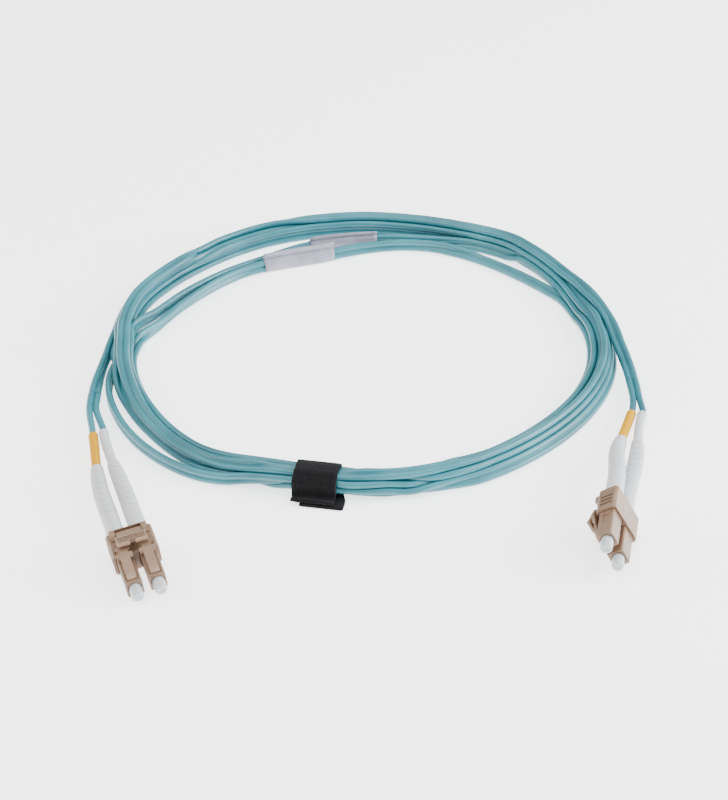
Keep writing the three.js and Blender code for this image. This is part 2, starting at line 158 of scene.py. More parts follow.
# ------------------------------------------------------------------ materials
class Mat:
    """Small helper around a node tree."""

    def __init__(self, name):
        self.m = bpy.data.materials.new(name)
        self.m.use_nodes = True
        self.nt = self.m.node_tree
        self.nt.nodes.clear()
        self.out = self.n("ShaderNodeOutputMaterial")
        self.b = self.n("ShaderNodeBsdfPrincipled")
        self.link(self.b.outputs[0], self.out.inputs[0])
        self.co = self.n("ShaderNodeTexCoord").outputs["Object"]

    def n(self, kind, **kw):
        node = self.nt.nodes.new(kind)
        for k, v in kw.items():
            setattr(node, k, v)
        return node

    def link(self, a, b):
        self.nt.links.new(a, b)

    def val(self, **kw):
        for k, v in kw.items():
            self.b.inputs[k.replace("_", " ")].default_value = v

    def noise(self, scale, detail=3, rough=0.55, co=None, stretch=None, dim=None):
        t = self.n("ShaderNodeTexNoise")
        t.inputs["Scale"].default_value = scale
        t.inputs["Detail"].default_value = detail
        t.inputs["Roughness"].default_value = rough
        src = co or self.co
        if stretch:
            mp = self.n("ShaderNodeMapping")
            mp.inputs["Scale"].default_value = stretch
            self.link(src, mp.inputs[0])
            src = mp.outputs[0]
        self.link(src, t.inputs["Vector"])
        return t.outputs["Fac"]

    def ramp(self, fac, stops):
        r = self.n("ShaderNodeValToRGB")
        el = r.color_ramp.elements
        while len(el) > 1:
            el.remove(el[-1])
        el[0].position, el[0].color = stops[0]
        for pos, col in stops[1:]:
            e = el.new(pos)
            e.color = col
        self.link(fac, r.inputs[0])
        return r.outputs[0]

    def maprange(self, fac, a, b, c=0.0, d=1.0):
        r = self.n("ShaderNodeMapRange")
        r.inputs[1].default_value, r.inputs[2].default_value = c, d
        r.inputs[3].default_value, r.inputs[4].default_value = a, b
        self.link(fac, r.inputs[0])
        return r.outputs[0]

    def math(self, op, a, b=None):
        r = self.n("ShaderNodeMath", operation=op)
        for i, v in enumerate((a, b)):
            if v is None:
                continue
            if isinstance(v, (int, float)):
                r.inputs[i].default_value = v
            else:
                self.link(v, r.inputs[i])
        return r.outputs[0]

    def mix(self, fac, a, b, blend="MIX"):
        r = self.n("ShaderNodeMix", data_type="RGBA", blend_type=blend)
        if isinstance(fac, (int, float)):
            r.inputs[0].default_value = fac
        else:
            self.link(fac, r.inputs[0])
        for i, v in ((6, a), (7, b)):
            if isinstance(v, tuple):
                r.inputs[i].default_value = v
            else:
                self.link(v, r.inputs[i])
        return r.outputs[2]

    def bump(self, height, strength, distance, normal=None):
        r = self.n("ShaderNodeBump")
        r.inputs["Strength"].default_value = strength
        r.inputs["Distance"].default_value = distance
        self.link(height, r.inputs["Height"])
        if normal is not None:
            self.link(normal, r.inputs["Normal"])
        return r.outputs[0]


def plastic(name, base, dark=0.9, rough=(0.34, 0.46), grain=2600, grain_h=0.00002, ss=0.0, wear=None, coat=0.0):
    """Moulded plastic: faint mottling, a fine spark-eroded grain and slightly worn edges."""
    k = Mat(name)
    lo = tuple(c * dark for c in base[:3]) + (1,)
    big = k.noise(90, 2)
    col = k.ramp(big, [(0.3, lo), (0.7, base)])
    if wear:
        g = k.n("ShaderNodeNewGeometry").outputs["Pointiness"]
        edge = k.maprange(g, 0.0, 1.0, 0.52, 0.62)
        col = k.mix(k.math("MULTIPLY", edge, k.maprange(k.noise(700, 3), 0.25, 0.85, 0.35, 0.65)), col, wear)
    k.link(col, k.b.inputs["Base Color"])
    k.link(k.maprange(k.noise(500, 3), rough[0], rough[1]), k.b.inputs["Roughness"])
    fine = k.noise(grain, 2, 0.6)
    wide = k.noise(180, 2, 0.5)
    n1 = k.bump(wide, 0.12, 0.00008)
    n2 = k.bump(fine, 0.5, grain_h, n1)
    k.link(n2, k.b.inputs["Normal"])
    k.val(IOR=1.5)
    if ss:
        k.val(Subsurface_Weight=ss, Subsurface_Scale=0.0015)
        k.b.inputs["Subsurface Radius"].default_value = (1.0, 0.85, 0.7)
    if coat:
        k.val(Coat_Weight=coat, Coat_Roughness=0.2)
    return k.m


BEIGE = plastic("lc_beige", srgb(126, 99, 78), 0.9, (0.34, 0.46), wear=srgb(158, 128, 106), ss=0.02)
BEIGE_DARK = plastic("lc_beige_clip", srgb(119, 93, 72), 0.9, (0.36, 0.48), wear=srgb(150, 121, 99), ss=0.02)
BOOT = plastic("boot_white", srgb(196, 196, 198), 0.94, (0.42, 0.55), ss=0.08)
SLEEVE_W = plastic("sleeve_white", srgb(198, 199, 202), 0.95, (0.3, 0.4), ss=0.08)
SLEEVE_Y = plastic("sleeve_yellow", (0.61, 0.295, 0.0, 1.0), 0.92, (0.5, 0.62), ss=0.0)
SLEEVE_Y.node_tree.nodes["Principled BSDF"].inputs["Specular IOR Level"].default_value = 0.15
CAP = plastic("cap_translucent", srgb(188, 191, 194), 0.95, (0.22, 0.32), ss=0.25, coat=0.2)


def metal(name, base, rough, stretch=None):
    k = Mat(name)
    k.val(Metallic=1.0)
    f = k.noise(900, 3, 0.6, stretch=stretch)
    k.link(k.ramp(f, [(0.3, tuple(c * 0.8 for c in base[:3]) + (1,)), (0.7, base)]), k.b.inputs["Base Color"])
    k.link(k.maprange(k.noise(1500, 3), rough[0], rough[1]), k.b.inputs["Roughness"])
    k.link(k.bump(f, 0.3, 0.00002), k.b.inputs["Normal"])
    return k.m


NICKEL = metal("nickel", srgb(196, 197, 198), (0.22, 0.38))
STEEL = metal("spring_steel", srgb(180, 182, 186), (0.2, 0.35))


def ceramic():
    k = Mat("zirconia")
    f = k.noise(1200, 2)
    k.link(k.ramp(f, [(0.3, srgb(238, 238, 232)), (0.7, srgb(248, 248, 244))]), k.b.inputs["Base Color"])
    k.link(k.maprange(f, 0.12, 0.2), k.b.inputs["Roughness"])
    k.val(Subsurface_Weight=0.2, Subsurface_Scale=0.0008)
    k.link(k.bump(k.noise(3000, 2), 0.2, 0.000005), k.b.inputs["Normal"])
    return k.m


ZIRCONIA = ceramic()
BUFFER = plastic("fiber_buffer", srgb(235, 228, 205), 0.95, (0.35, 0.45))


def jacket():
    """Extruded cord jacket: satin skin with faint drawing lines, cloudy colour and handling marks.
    Needs no unwrap: the lines follow the generated coordinate stored per point as an attribute."""
    k = Mat("jacket_aqua")
    at = k.n("ShaderNodeAttribute", attribute_name="run")    # x: along (m), y: round (0..1)
    xyz = k.n("ShaderNodeSeparateXYZ")
    k.link(at.outputs["Vector"], xyz.inputs[0])
    base, lo, hi = srgb(38, 110, 121), srgb(26, 93, 104), srgb(54, 126, 138)
    cloud = k.noise(60, 3, 0.5)
    col = k.ramp(cloud, [(0.28, lo), (0.5, base), (0.75, hi)])
    # long faint streaks from extrusion
    comb = k.n("ShaderNodeCombineXYZ")
    k.link(k.math("MULTIPLY", xyz.outputs[0], 40.0), comb.inputs[0])
    k.link(k.math("MULTIPLY", xyz.outputs[1], 26.0), comb.inputs[1])
    streak = k.noise(1.0, 4, 0.6, co=comb.outputs[0])
    col = k.mix(k.maprange(streak, 0.0, 0.35, 0.45, 0.8), col, srgb(64, 136, 148))
    k.link(col, k.b.inputs["Base Color"])
    k.link(k.math("ADD", k.maprange(k.noise(220, 3), 0.3, 0.44), k.maprange(streak, -0.03, 0.05)), k.b.inputs["Roughness"])
    n1 = k.bump(streak, 0.25, 0.00006)
    n2 = k.bump(k.noise(1800, 3, 0.6), 0.35, 0.00002, n1)
    k.link(n2, k.b.inputs["Normal"])
    k.val(IOR=1.48, Subsurface_Weight=0.03, Subsurface_Scale=0.0008, Coat_Weight=0.16, Coat_Roughness=0.3)
    return k.m


JACKET = jacket()


def loop_fabric():
    """Knitted loop side of a hook-and-loop strap: dense dark pile with slightly lighter tips."""
    k = Mat("tie_loop")
    v = k.n("ShaderNodeTexVoronoi", feature="F1", distance="EUCLIDEAN")
    v.inputs["Scale"].default_value = 2600
    k.link(k.co, v.inputs["Vector"])
    d = v.outputs["Distance"]
    n = k.noise(1400, 4, 0.7)
    mixv = k.math("MULTIPLY", d, n)
    k.link(k.ramp(mixv, [(0.0, (0.0012, 0.001, 0.0013, 1)), (0.25, (0.003, 0.0026, 0.0032, 1)), (0.55, (0.008, 0.007, 0.0085, 1))]), k.b.inputs["Base Color"])
    k.val(Roughness=0.97, Sheen_Weight=0.06, Sheen_Roughness=0.5, Specular_IOR_Level=0.2)
    k.b.inputs["Sheen Tint"].default_value = (0.6, 0.6, 0.65, 1)
    k.link(k.bump(d, 0.9, 0.00018, k.bump(n, 0.8, 0.00025)), k.b.inputs["Normal"])
    return k.m


TIE = loop_fabric()


def film():
    k = Mat("label_film")
    f = k.noise(300, 3)
    k.link(k.ramp(f, [(0.3, srgb(131, 130, 144)), (0.7, srgb(152, 150, 164))]), k.b.inputs["Base Color"])
    k.link(k.maprange(k.noise(800, 3), 0.32, 0.5), k.b.inputs["Roughness"])
    k.link(k.bump(k.noise(260, 3), 0.5, 0.00012, k.bump(k.noise(2400, 2), 0.3, 0.00002)), k.b.inputs["Normal"])
    k.val(Subsurface_Weight=0.1, Subsurface_Scale=0.0008)
    return k.m


FILM = film()


def floor_mat():
    k = Mat("floor")
    f = k.noise(12, 3)
    k.link(k.ramp(f, [(0.3, (0.86, 0.86, 0.86, 1)), (0.7, (0.88, 0.88, 0.88, 1))]), k.b.inputs["Base Color"])
    k.val(Roughness=0.7, Emission_Strength=2.0)
    k.b.inputs["Emission Color"].default_value = (1.0, 1.0, 1.0, 1.0)
    return k.m


# ------------------------------------------------------------------ mesh helpers
def make(name, verts, faces, mat, smooth=True, mm=True):
    me = bpy.data.meshes.new(name)
    v = np.asarray(verts, float) * (MM if mm else 1.0)
    me.from_pydata(v.tolist(), [], faces)
    me.validate()
    bm = bmesh.new()
    bm.from_mesh(me)
    bmesh.ops.recalc_face_normals(bm, faces=bm.faces)
    bm.to_mesh(me)
    bm.free()
    if smooth:
        for p in me.polygons:
            p.use_smooth = True
    me.materials.append(mat)
    o = bpy.data.objects.new(name, me)
    scene.collection.objects.link(o)
    return o


def rings(sections, closed=False, caps=True):
    """Faces between rings of equal size; sections is a list of (n,3) arrays."""
    n = len(sections[0])
    v = np.concatenate(sections)
    f = []
    m = len(sections)
    for i in range(m if closed else m - 1):
        a, b = i * n, ((i + 1) % m) * n
        for j in range(n):
            k = (j + 1) % n
            f.append((a + j, a + k, b + k, b + j))
    if caps and not closed:
        f.append(tuple(range(n - 1, -1, -1)))
        f.append(tuple((m - 1) * n + j for j in range(n)))
    return v, f


def revolve(profile, seg, shear=None, closed=True, wobble=None):
    """Body of revolution about local y from (r, y) pairs. closed: the profile is a loop; otherwise it
    starts and ends on the axis. shear(y) gives an x offset."""
    prof = np.asarray(profile, float)
    v, f = [], []
    a = 2 * np.pi * np.arange(seg) / seg
    ids = []
    for r, y in prof:
        if r < 1e-6:
            ids.append([len(v)])
            v.append((0, y, 0))
        else:
            ids.append(list(range(len(v), len(v) + seg)))
            v += [(r * math.cos(t), y, r * math.sin(t)) for t in a]
    m = len(prof)
    for i in range(m if closed else m - 1):
        p, q = ids[i], ids[(i + 1) % m]
        for j in range(seg):
            k = (j + 1) % seg
            if len(p) == 1 and len(q) == 1:
                continue
            if len(p) == 1:
                f.append((p[0], q[k], q[j]))
            elif len(q) == 1:
                f.append((p[j], p[k], q[0]))
            else:
                f.append((p[j], p[k], q[k], q[j]))
    v = np.array(v, float)
    if shear is not None:
        v[:, 0] += shear(v[:, 1])
    return v, f


def chamfer_profile(points, seg_len=0.35):
    """Adds points along the long runs of a profile so that a bent piece stays smooth."""
    out = []
    m = len(points)
    for i in range(m):
        a, b = np.array(points[i], float), np.array(points[(i + 1) % m], float)
        out.append(tuple(a))
        d = np.linalg.norm(b - a)
        k = int(d / seg_len)
        for j in range(1, k):
            out.append(tuple(a + (b - a) * j / k))
    return out


def catmull(P, sub):
    """Centripetal-like smooth interpolation of an (n, d) array, sub points per span."""
    P = np.asarray(P, float)
    n = len(P)
    E = np.concatenate([[2 * P[0] - P[1]], P, [2 * P[-1] - P[-2]]])
    out = []
    for i in range(n - 1):
        p0, p1, p2, p3 = E[i], E[i + 1], E[i + 2], E[i + 3]
        for j in range(sub):
            t = j / sub
            out.append(0.5 * ((2 * p1) + (-p0 + p2) * t + (2 * p0 - 5 * p1 + 4 * p2 - p3) * t * t + (-p0 + 3 * p1 - 3 * p2 + p3) * t ** 3))
    out.append(P[-1])
    return np.array(out)


# ------------------------------------------------------------------ the cord's route
STEP, NST, RS, PIT, RM = 5.0, 72, 1.0, 2.08, 72.3
TH_A, TH_B = 205.0, -20.0 - 6 * 360
TIE_DEG = -100.2
LOOSE_1 = [(174, 65.8), (165, 63.7), (156, 61.7), (147, 60.4), (139, 59.9), (130, 59.2), (122, 57.9), (114, 56.6), (106, 56.2), (98, 57.5), (90, 60.2), (80, 63.4), (70, 65.5), (60, 66.5), (50, 66.6), (43, 66.8), (34, 67.8), (26, 69.2)]
LOOSE_2 = [(166, 68.2), (156, 65.7), (147, 63.4), (139, 62.3), (130, 61.4), (122, 60.9), (114, 62.2), (106, 63.4), (97, 64.0), (90, 65.0), (82, 66.7), (74, 68.4), (66, 69.8), (60, 70.6)]
SHAPE = [(0, 0.3), (10, 0.4), (20, 0.6), (30, 1.4), (40, 2.2), (50, 2.0), (60, 0.5), (70, 0.0), (80, -0.6), (90, -0.2), (100, -0.7), (115, 0.0), (130, -0.6), (150, 0.0), (160, 1.0), (170, 1.0), (180, 0.2), (190, 0.8), (210, 0.8), (220, 1.2), (230, 2.2), (240, 3.2), (250, 1.8), (260, 0.0), (270, -0.5), (290, -0.4), (300, -1.2), (310, -1.7), (320, -1.7), (330, -1.2), (340, -0.6), (350, 0.1), (360, 0.3)]


def noise1(rng, n, cell):
    k = int(n / cell) + 4
    c = rng.standard_normal(k)
    x = np.arange(n) / cell
    i = x.astype(int)
    f = x - i
    f = f * f * (3 - 2 * f)
    return c[i] * (1 - f) + c[i + 1] * f


def wind(seed, iters):
    """Winds six and a half turns and lets them settle: both strands of the zip cord are pulled to their
    places, drop under gravity, resist bending and push each other apart, and the tie squeezes them.
    Returns th[J] in degrees and X[J, 2, 2] with (radius - RM, height) for the two strands, in mm."""
    rng = np.random.default_rng(seed)
    J = int(round((TH_A - TH_B) / STEP)) + 1
    th = TH_A - STEP * np.arange(J)
    psi = 180.0 - th
    p = np.floor(psi / 360.0).astype(int)
    ph = psi - 360.0 * p
    S = np.array([[3.4, 1.6], [0.2, 1.4], [-3.2, 1.5], [3.3, 4.0], [-2.6, 4.4], [0.3, 5.2], [3.3, 6.6], [3.3, 6.6]])
    pp = np.clip(p, 0, 6)
    w = smooth01((ph - 195.0) / 150.0)
    C = S[pp] * (1 - w)[:, None] + S[np.clip(pp + 1, 0, 7)] * w[:, None]
    C[p < 0] = S[0]
    thp = th % 360
    # behind, where two turns have come loose, the rest lies a little further out and closer together
    rear = smooth01((thp - 30) / 25) * (1 - smooth01((thp - 158) / 25))
    calm = 1 - CALM * rear
    # the coil is not a perfect ring
    a = np.array(SHAPE)
    shape = np.interp(thp, a[:, 0], a[:, 1])
    C[:, 0] += shape
    C[:, 0] += 0.75 * noise1(rng, J, 11) * calm
    C[:, 1] += 0.5 * noise1(rng, J, 13) * calm
    k = np.full(J, 0.02)
    ang = np.radians((35 * noise1(rng, J, 16) + 20 * noise1(rng, J, 7) + 40 * np.sin(psi / 360 * 2.1 + 0.7)) * calm)
    C[:, 0] += (OUT - 0.8) * rear
    low = np.array([1.0, 1.0, 0, 3.0, 0, 3.0, 5.0, 5.0])[pp]
    C[:, 1] += ((low - C[:, 1]) * CALM * rear)
    for q, tab, strong in ((2, LOOSE_1, 0.5), (4, LOOSE_2, 0.5)):
        a = np.array(tab, float)[::-1]
        m = (p == q) & (thp <= a[-1, 0]) & (thp >= a[0, 0])
        C[m, 0] = np.interp(thp[m], a[:, 0], a[:, 1]) - RM
        C[m, 1] = 2.1
        k[m] = strong
        ang[m] = np.radians(90 + 12 * noise1(rng, int(m.sum()), 6))
        if q == 4:
            k[m] = 0.02 + (strong - 0.02) * smooth01((thp[m] - 58.0) / 18.0)
        if q == 2:
            # the inner turn lies down flat on its way back to the bundle
            flat_ = smooth01((70.0 - thp[m]) / 16.0)
            ang[m] = ang[m] * (1 - flat_) + np.radians(8.0) * flat_
            C[m, 1] = 2.1 - 1.0 * flat_
    a = np.array([(186, 5.2), (192, 6.0), (200, 7.5), (208, 8.9), (216, 9.9), (224, 10.2), (232, 9.6), (240, 8.1), (246, 6.2)])
    m = (p == 3) & (thp > 188) & (thp < 248)
    t = (thp[m] - 188) / 60.0
    C[m, 0] = np.interp(thp[m], a[:, 0], a[:, 1])
    C[m, 1] = 2.1
    ang[m] = np.radians(86)
    k[m] = 0.02 + 0.33 * np.sin(np.pi * t) ** 0.9
    # and comes back flat along the floor at the bundle's foot
    m = (p == 3) & (thp >= 248) & (thp < 262)
    C[m, 0] = np.interp(thp[m], [248, 262], [5.0, 3.4])
    C[m, 1] = 1.9
    ta = np.array([(170, 75.8), (175, 76.4), (180, 77.2), (185, 78.5), (190, 80.1), (195, 82.2), (200, 84.5), (205, 87.1)])
    m = psi <= 10
    C[m, 0] = np.interp(th[m], ta[:, 0], ta[:, 1]) - RM
    C[m, 1] = np.interp(th[m], [170, 185, 195, 205], [1.6, 2.1, 2.5, 3.5])
    k[m] = 0.5
    ang[m] = np.radians(np.interp(th[m], [170, 178, 188, 198, 205], [60, 80, 84, 30, 6]))
    tb = np.array([(-20, 85.5), (-15, 83.0), (-10, 80.9), (-5, 79.0), (0, 77.4), (5, 76.3), (10, 75.6), (20, 74.9)])
    thb = th + 6 * 360
    # the last turn twists over once, so that it reaches its connector lying flat
    ang += np.pi * smooth01((170.0 - thb) / 110.0)
    m = thb <= 20
    C[m, 0] = np.interp(thb[m], tb[:, 0], tb[:, 1]) - RM
    C[m, 1] = np.interp(thb[m], [-20, -12, -4, 6, 20], [2.6, 2.9, 3.9, 5.2, 6.3])
    k[m] = 0.5
    ang[m] = np.radians(np.interp(thb[m], [-20, -10, 5, 20], [180, 184, 200, 220]))
    d = 0.5 * PIT * np.stack([np.cos(ang), np.sin(ang)], -1)
    X = np.stack([C + d, C - d], 1)
    X[:, :, 1] = np.maximum(X[:, :, 1], RS)
    T = X.copy()
    # the film round the cord lifts it off the surface where the two labels are
    lift = np.full(J, RS)
    for q, at_, full_, gone in ((2, 112.0, 14.5, 24.0), (4, 96.4, 13.0, 22.0)):
        o_ = np.abs(thp - at_)
        lift = np.where(p == q, RS + 0.27 * (1 - smooth01((o_ - full_) / (gone - full_))), lift)
    lift = lift[:, None]
    X[:, :, 1] = np.maximum(X[:, :, 1], lift)
    pin_a, pin_b = X[0].copy(), X[-1].copy()
    groups = [np.where(np.arange(J) % NST == s)[0] for s in range(NST)]
    mx = max(len(g) for g in groups)
    G = np.full((NST, mx), -1)
    for s, g in enumerate(groups):
        G[s, : len(g)] = g
    ok = G >= 0
    Gi = np.where(ok, G, 0)
    n2 = 2 * mx
    valid = np.repeat(ok, 2, axis=1)
    iu, ju = np.triu_indices(n2, 1)
    other = (iu // 2) != (ju // 2)
    iu, ju = iu[other], ju[other]
    V = valid[:, iu] & valid[:, ju]
    base = (np.arange(NST) * n2)[:, None]
    off = np.abs(((th - TIE_DEG + 180) % 360) - 180)
    tie, near = off <= 6.5, off <= 17
    tc = np.array([72.5 - RM, TIE_Z])
    kk = k[:, None, None]
    free = k < 0.1
    cen = np.stack([72.5 - RM + OUT * rear + shape, 3.6 - 0.6 * rear], -1)
    hug = np.array([1.0, 0.35]) * (1 + HUG * rear)[:, None] * np.array([1.0, 1.0])
    for it in range(iters):
        late = it > iters * 0.75
        f = it / iters
        X += kk * (T - X) * (0.12 if late else 0.35) * np.where(kk < 0.1, max(0.0, 1 - 1.6 * f), 1.0)
        c = X.mean(1)
        X[free] += (PULL if f < 0.7 else 0.6 * PULL) * ((cen - c) * hug)[free][:, None, :]
        X[free, :, 1] -= 0.012
        s = 0.12 if it > iters * 0.94 else 0.3 if late else 0.5
        Y = X.copy()
        Y[2:-2] = (-X[:-4] + 4 * X[1:-3] + 10 * X[2:-2] + 4 * X[3:-1] - X[4:]) / 16.0
        X = X * (1 - s) + Y * s
        X[near] -= 0.02 * (X[near].mean(1) - tc)[:, None, :]
        for _ in range(12 if it > iters * 0.94 else 6 if late else 3):
            dd = X[:, 0] - X[:, 1]
            L = np.linalg.norm(dd, axis=1, keepdims=True)
            corr = 0.5 * (L - PIT) / L * dd
            X[:, 0] -= corr
            X[:, 1] += corr
            P = X[Gi].reshape(NST, n2, 2)
            D = P[:, iu] - P[:, ju]
            dist = np.linalg.norm(D, axis=2)
            pen = np.where(V & (dist < 2 * RS + 0.04), 2 * RS + 0.04 - dist, 0.0)
            push = (0.4 * pen / np.maximum(dist, 1e-4))[..., None] * D
            flat = np.zeros((NST * n2, 2))
            np.add.at(flat, (base + iu).ravel(), push.reshape(-1, 2))
            np.add.at(flat, (base + ju).ravel(), -push.reshape(-1, 2))
            A = flat.reshape(NST, mx, 2, 2)
            for col in range(mx):
                X[Gi[ok[:, col], col]] += A[ok[:, col], col]
            X[:, :, 1] = np.maximum(X[:, :, 1], lift)
            v = X[tie] - tc
            qx, qz = np.abs(v[..., 0]) - (TIE_HW - TIE_RR), np.abs(v[..., 1]) - (TIE_HH - TIE_RR)
            out = np.hypot(np.maximum(qx, 0), np.maximum(qz, 0)) + np.minimum(np.maximum(qx, qz), 0) - TIE_RR
            gx, gz = np.maximum(qx, 0), np.maximum(qz, 0)
            gl = np.maximum(np.hypot(gx, gz), 1e-6)
            X[tie] -= np.stack([np.sign(v[..., 0]) * gx / gl, np.sign(v[..., 1]) * gz / gl], -1) * np.maximum(out, 0)[..., None]
            X[0], X[-1] = pin_a, pin_b
    return th, X


PULL, OUT, CALM, HUG = 0.012, 2.4, 0.85, 3.0
TIE_Z, TIE_HW, TIE_HH, TIE_RR = 4.1, 3.15, 2.15, 1.5   # limits of the strands' centres inside the tie
th_, X_ = wind(11, 1300)
rr_ = X_[:, :, 0] + RM
strand = np.stack([rr_ * np.cos(np.radians(th_))[:, None] + COIL_C[0], rr_ * np.sin(np.radians(th_))[:, None] + COIL_C[1], X_[:, :, 1]], -1)

# legs: from inside each boot to where the strands join, in the connector's frame
LEG_Y = np.array([28.0, 31, 34, 37, 40, 43, 46, 49, 52, 55, 58, 61, 64, 67, 70, 73.2])
legs = {}
for tag in "ab":
    for n, side in ((1, -1), (2, 1)):
        x_, z_ = course(tag, side, LEG_Y)
        legs[tag, n] = world(tag, np.stack([x_, LEG_Y, z_], -1))
# strand 0 runs from a1 to b2, strand 1 from a2 to b1
full = []
for s, (na, nb) in enumerate(((1, 2), (2, 1))):
    full.append(np.concatenate([legs["a", na], strand[:, s], legs["b", nb][::-1]]))
full = np.stack(full, 1)                       # (M, 2, 3)
SUB = 4
fine = np.stack([catmull(full[:, 0], SUB), catmull(full[:, 1], SUB)], 1)
fine[:, :, 2] = np.maximum(fine[:, :, 2], RS + 0.0)
gap_ = np.linalg.norm(fine[:, 0] - fine[:, 1], axis=1)
mid = fine.mean(1)
run = np.concatenate([[0], np.cumsum(np.linalg.norm(np.diff(mid, axis=0), axis=1))])
# where the strands have come together into one jacket
joined = np.where(gap_ <= PIT + 0.16)[0]
j0, j1 = joined[0], joined[-1]


def frames(P):
    T = np.gradient(P, axis=0)
    return T / np.linalg.norm(T, axis=1, keepdims=True)


def zip_section(h, neck=0.34, r=RS, n=11):
    """Figure-eight outline about the middle of the zip: (across, up) pairs, h half the strand distance."""
    cut = math.asin(neck / r)
    a = np.linspace(-(math.pi - cut), math.pi - cut, n)
    right = [(h + r * math.cos(t), r * math.sin(t)) for t in a]
    left = [(-x, -y) for x, y in right]
    return right + left


T_ = frames(mid)
sec = []
for i in range(j0, j1 + 1):
    wv = fine[i, 0] - fine[i, 1]
    h = np.linalg.norm(wv) / 2
    wv = wv / (2 * h)
    nv = np.cross(T_[i], wv)
    nv /= np.linalg.norm(nv)
    sec.append(np.array([mid[i] + x * wv + y * nv for x, y in zip_section(h)]))
NS = len(sec[0])
V_, F_ = rings(sec)
runs = [run[i] for i in range(j0, j1 + 1) for _ in range(NS)]
rounds = [j / NS for _ in range(j0, j1 + 1) for j in range(NS)]


def strand_tube(P, r, n=18, flip=1.0):
    T = frames(P)
    ref = np.array([0, 0, 1.0])
    out = []
    for p, t in zip(P, T):
        u = np.cross(t, ref)
        u /= np.linalg.norm(u)
        w = np.cross(u, t)
        out.append(np.array([p + r * (math.cos(a) * u + math.sin(a) * w) for a in 2 * np.pi * np.arange(n) / n]))
    return out


verts, faces = [V_], list(F_)
count = len(V_)
for s in (0, 1):
    for lo, hi in ((0, j0 + 5), (j1 - 5, len(fine) - 1)):
        P = fine[lo : hi + 1, s]
        tv, tf = rings(strand_tube(P, RS - 0.004))
        verts.append(tv)
        faces += [tuple(i + count for i in f) for f in tf]
        count += len(tv)
        rs = run[lo : hi + 1]
        runs += [x for x in rs for _ in range(18)]
        rounds += [j / 18 for _ in rs for j in range(18)]
cord = make("zip_cord", np.concatenate(verts), faces, JACKET)
at = cord.data.attributes.new("run", "FLOAT_VECTOR", "POINT")
at.data.foreach_set("vector", np.stack([np.array(runs) * MM, np.array(rounds), np.zeros(len(runs))], -1).ravel())
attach(cord, "root")
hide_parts("coil_turns", "tail_a", "tail_b", "loose_turn_1", "loose_turn_2",
            "a1_cord_leg", "a2_cord_leg", "b1_cord_leg", "b2_cord_leg")


# ------------------------------------------------------------------ pieces round the connectors
def ribbed_boot(tag, side):
    """Strain relief: plain bell over the crimp, then a tapered flex section cut by alternating part-ring
    slots, so that a spine is left on opposite sides of each ring, and a plain lip."""
    base = lambda y: np.interp(y, [21.25, 21.38, 21.62, 24.6, 25.0, 25.3, 31, 37, 42, 47, 51, 54.3, 54.9, 55.2],
                               [2.28, 2.42, 2.5, 2.5, 2.5, 2.49, 2.48, 2.44, 2.36, 2.26, 2.1, 1.86, 1.76, 1.62])
    ring_y = [21.25, 21.38, 21.62, 23.0, 24.6, 25.0, 25.3, 27.0, 28.6, 30.2, 31.4]
    slots = []
    y = 32.2
    while y < 53.0:
        slots.append(y)
        ring_y += [y, y + 0.1, y + 0.44, y + 0.54]
        y += 1.36
    ring_y += [53.6, 54.3, 54.9, 55.1, 55.2]
    ring_y = sorted(ring_y)
    seg = 40
    a = 2 * np.pi * np.arange(seg) / seg
    outer = []
    for y in ring_y:
        r = np.full(seg, float(base(y)))
        for i, s in enumerate(slots):
            if s + 0.05 < y < s + 0.5:
                ang = 0 if i % 2 == 0 else np.pi / 2
                spine = np.abs(np.cos(a - ang))
                r -= 0.42 * (1 - smooth01((spine - 0.86) / 0.07))
        x_, z_ = course(tag, side, y)
        outer.append(np.stack([r * np.cos(a) + x_, np.full(seg, y), r * np.sin(a) + z_], -1))
    inner = []
    for y in [55.2, 54.8, 52, 49, 46, 43, 40, 37, 34, 31, 28.4, 28.0, 26, 23.5, 21.6, 21.25]:
        r = float(np.interp(y, [21.25, 28.0, 28.4, 54.8, 55.2], [2.06, 2.04, 1.16, 1.1, 1.2]))
        x_, z_ = course(tag, side, y)
        inner.append(np.stack([r * np.cos(a) + x_, np.full(seg, y), r * np.sin(a) + z_], -1))
    return rings(outer + inner, closed=True, caps=False)


def marker(tag, side):
    prof = [(1.3, 55.5), (1.4, 55.62)] + [(1.4 + 0.012 * math.sin(y * 1.7), y) for y in np.arange(56.2, 70.9, 0.9)] + [(1.4, 71.16), (1.3, 71.3), (1.08, 71.3)]
    prof += [(1.06, y) for y in np.arange(70.4, 56.2, -1.5)] + [(1.08, 55.5)]
    v, f = revolve(prof, 36)
    x_, z_ = course(tag, side, v[:, 1])
    v[:, 0] += x_
    v[:, 2] += z_
    return v, f


def dust_cap(px):
    prof = [(0.0, -3.72), (0.55, -3.74), (0.86, -3.9), (1.12, -3.89), (1.4, -3.8), (1.55, -3.62), (1.62, -3.36), (1.66, -3.0),
            (1.68, -2.4), (1.69, -1.7), (1.7, -1.2), (1.7, -0.62), (1.66, -0.55), (1.62, -0.4),
            (1.64, 0.0), (1.65, 1.4), (1.62, 1.7), (1.5, 1.9), (0.9, 1.9), (0.79, 1.8), (0.79, 0.5), (0.79, -1.5), (0.79, -2.66), (0.7, -2.75), (0.0, -2.75)]
    v, f = revolve(prof, 40, closed=False)
    # four shallow grip flutes round the nose
    a = np.arctan2(v[:, 2], v[:, 0])
    m = (v[:, 1] > -3.7) & (v[:, 1] < -0.6) & (np.hypot(v[:, 0], v[:, 2]) > 1.3)
    k = 1 - 0.05 * np.maximum(0, np.cos(4 * a)) ** 6 * m * np.sin(np.pi * np.clip((v[:, 1] + 3.7) / 3.1, 0, 1))
    v[:, 0] *= k
    v[:, 2] *= k
    v[:, 0] += px
    return v, f


